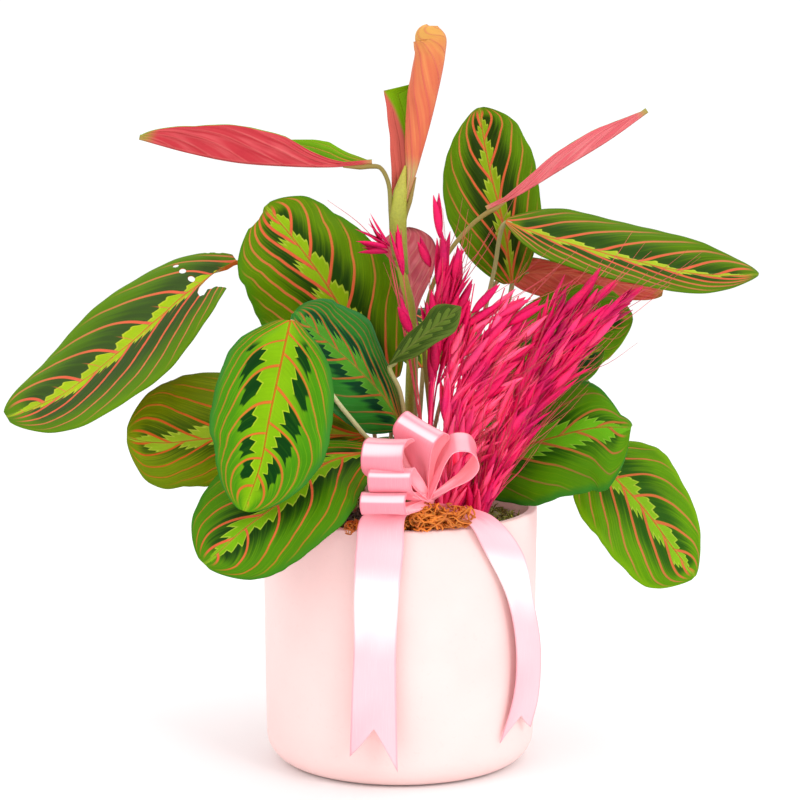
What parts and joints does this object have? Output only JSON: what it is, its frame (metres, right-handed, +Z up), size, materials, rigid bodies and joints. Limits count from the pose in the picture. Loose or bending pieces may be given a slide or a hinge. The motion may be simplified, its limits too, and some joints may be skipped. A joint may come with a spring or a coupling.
{
  "type": "potted prayer plant maranta",
  "caption": "Red-veined maranta in a round pale pink ceramic pot, with dyed dried oats and a satin ribbon bow; stands on its flat base.",
  "frame": {"origin": "centre of the pot's flat base", "axes": "+Z up out of the pot, -Y towards the side with the ribbon bow, +X to the right as seen from that side"},
  "size_m": [0.3809, 0.2242, 0.3741],
  "materials": {
    "pot": "matte",
    "soil": "matte",
    "moss": "matte",
    "coir": "matte",
    "leaf": "satin",
    "young_leaf": "satin",
    "oats": "matte",
    "ribbon": "satin"
  },
  "bodies": {
    "root": {"pot": "pot", "soil": "soil", "moss": "moss", "coir_fibres": "coir", "leaf_far_left": "leaf", "leaf_upper_left": "leaf", "leaf_front": "leaf", "leaf_dark_middle": "leaf", "leaf_low_left": "leaf", "leaf_bottom_left": "leaf", "leaf_upper_right": "leaf", "leaf_folded_right": "leaf", "leaf_long_right": "leaf", "leaf_red_right": "leaf", "leaf_behind_oats": "leaf", "leaf_under_oats": "leaf", "leaf_right_front": "leaf", "leaf_far_right_low": "leaf", "leaf_small_middle": "leaf", "leaf_red_behind_stem": "leaf", "leaf_back_left": "leaf", "leaf_back_middle": "leaf", "leaf_back_right": "leaf", "leaf_back_low_left": "leaf", "leaf_back_low": "leaf", "leafy_stem": "young_leaf", "oats_right": "oats", "oats_middle": "oats", "oats_left": "oats", "ribbon_bow": "ribbon", "ribbon_tail_left": "ribbon", "ribbon_tail_right": "ribbon"}
  },
  "joints": []
}
